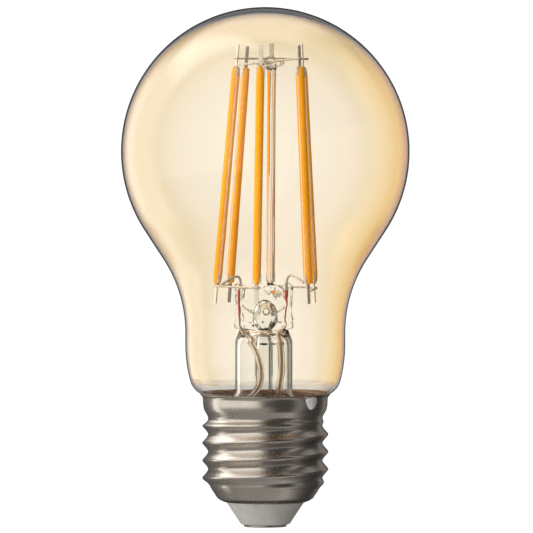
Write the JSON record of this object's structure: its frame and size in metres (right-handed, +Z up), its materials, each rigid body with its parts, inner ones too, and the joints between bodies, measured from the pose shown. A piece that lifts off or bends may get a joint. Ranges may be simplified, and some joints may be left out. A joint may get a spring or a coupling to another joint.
{
  "type": "smart light bulb",
  "caption": "Amber-coated filament bulb with a screw cap, its glass mount, strip filaments, and a dimming driver with radio inside the cap.",
  "frame": {"origin": "middle of the centre contact's bottom face", "axes": "+Z up the bulb's axis from the screw cap to the globe; +X along the wide side of the glass stem; -Y towards the side that carries the front filament and the side solder"},
  "size_m": [0.06, 0.06, 0.108],
  "materials": {
    "clear_glass": "clear blown soda glass, glossy",
    "amber_lacquer": "thin transparent amber coat inside the bulb",
    "phosphor_silicone": "orange phosphor-filled silicone, satin",
    "ceramic_strip": "pale pink-grey translucent ceramic",
    "steel_terminal": "bright cut steel strip with dark edges",
    "led_die": "small pale dies",
    "nickel_wire": "drawn nickel wire",
    "copper_clad_seal_wire": "oxidised red copper cladding seen through glass",
    "tinned_wire": "tinned copper",
    "silicone_sleeve": "translucent peach insulating sleeve",
    "satin_nickel_plate": "satin warm-grey nickel plating",
    "grey_insulator": "light grey moulded insulator",
    "brass_contact": "stamped brass",
    "solder": "bright solder",
    "brown_cement": "brown baked cap cement",
    "fish_paper": "brown vulcanised fibre paper",
    "board_laminate": "green solder mask",
    "capacitor_sleeve": "dark shrink sleeve",
    "ferrite": "dark grey ferrite with copper winding",
    "chip_epoxy": "black moulded epoxy",
    "film_capacitor_case": "ochre dipped case",
    "resistor_coat": "flame-proof lacquer",
    "chip_ceramic": "ceramic chips",
    "shield_can": "tin-plated steel"
  },
  "bodies": {
    "root": {"glass_envelope": "clear_glass", "stem_flare_and_press": "clear_glass", "exhaust_tube": "clear_glass", "centre_rod": "clear_glass", "top_bead": "clear_glass", "amber_coating": "amber_lacquer", "filament_front_phosphor": "phosphor_silicone", "filament_front_strip": "ceramic_strip", "filament_front_terminals": "steel_terminal", "filament_front_right_phosphor": "phosphor_silicone", "filament_front_right_strip": "ceramic_strip", "filament_front_right_terminals": "steel_terminal", "filament_back_right_phosphor": "phosphor_silicone", "filament_back_right_strip": "ceramic_strip", "filament_back_right_terminals": "steel_terminal", "filament_back_phosphor": "phosphor_silicone", "filament_back_strip": "ceramic_strip", "filament_back_terminals": "steel_terminal", "filament_back_left_phosphor": "phosphor_silicone", "filament_back_left_strip": "ceramic_strip", "filament_back_left_terminals": "steel_terminal", "filament_front_left_phosphor": "phosphor_silicone", "filament_front_left_strip": "ceramic_strip", "filament_front_left_terminals": "steel_terminal", "led_chips": "led_die", "head_wire_front_to_back": "nickel_wire", "head_wire_front_right_to_left": "nickel_wire", "head_wire_back_right_to_left": "nickel_wire", "foot_wire_left": "nickel_wire", "foot_wire_right": "nickel_wire", "lead_wire_left": "nickel_wire", "lead_wire_right": "nickel_wire", "seal_wire_left": "copper_clad_seal_wire", "seal_wire_right": "copper_clad_seal_wire", "lead_conductor_left": "tinned_wire", "lead_conductor_right": "tinned_wire", "live_wire": "tinned_wire", "neutral_wire": "tinned_wire", "radio_pins": "tinned_wire", "lead_sleeve_left": "silicone_sleeve", "lead_sleeve_right": "silicone_sleeve", "cap_shell": "satin_nickel_plate", "cap_insulator": "grey_insulator", "centre_contact": "brass_contact", "contact_solder": "solder", "side_solder": "solder", "cement_ring": "brown_cement", "driver_liner": "fish_paper", "driver_board": "board_laminate", "radio_board": "board_laminate", "bulk_capacitor": "capacitor_sleeve", "power_inductor": "ferrite", "bridge_rectifier": "chip_epoxy", "driver_chip": "chip_epoxy", "dimming_transistor": "chip_epoxy", "film_capacitor": "film_capacitor_case", "fusible_resistor": "resistor_coat", "board_chip_parts": "chip_ceramic", "chip_antenna": "chip_ceramic", "radio_shield": "shield_can"}
  },
  "joints": []
}
